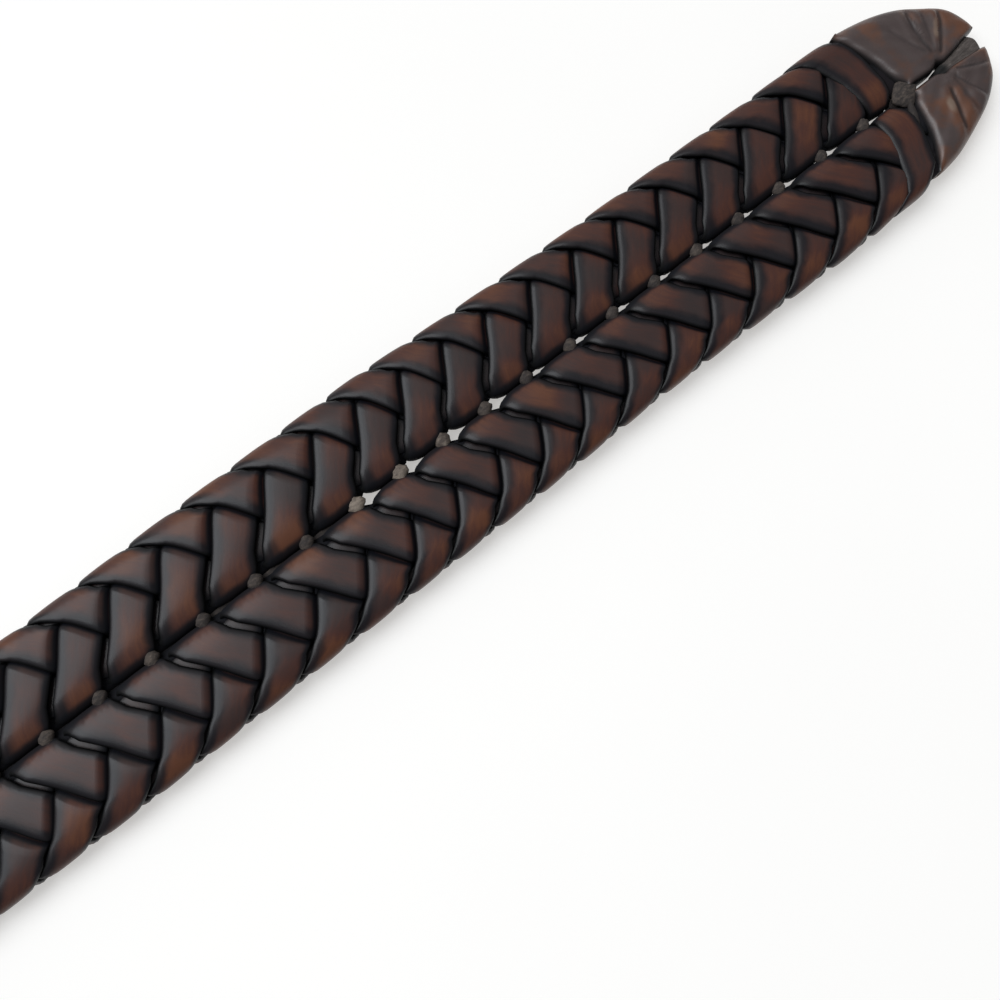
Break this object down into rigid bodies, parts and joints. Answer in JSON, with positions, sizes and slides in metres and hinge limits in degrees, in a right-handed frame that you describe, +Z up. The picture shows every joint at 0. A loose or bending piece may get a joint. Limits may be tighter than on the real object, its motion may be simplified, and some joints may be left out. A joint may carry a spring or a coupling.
{
  "type": "braided leather belt",
  "caption": "Dark brown leather belt of two flat tubes of woven straps laced edge to edge, with a pleated round tip, and a plain frame buckle in a leather chape. Lies flat.",
  "frame": {"origin": "under the middle of the belt, on the surface that it lies on, centred along its length and across it", "axes": "+X along the belt to its tip, +Y across it, +Z up out of the face of the braid"},
  "size_m": [1.0099, 0.0454, 0.0086],
  "materials": {
    "strap_leather": "hand-coloured red-brown, blackened and burnished edges, satin",
    "tip_leather": "brown-grey, pleated, satin",
    "inner_leather": "grey-brown raw flesh side, matt",
    "chape_leather": "dark brown, burnished edges, satin",
    "buckle_metal": "darkened steel, satin"
  },
  "bodies": {
    "root": {"braid": "strap_leather", "left_tip_cap": "tip_leather", "right_tip_cap": "tip_leather", "tip_inner_layer": "inner_leather", "chape": "chape_leather", "buckle": "buckle_metal"}
  },
  "joints": []
}
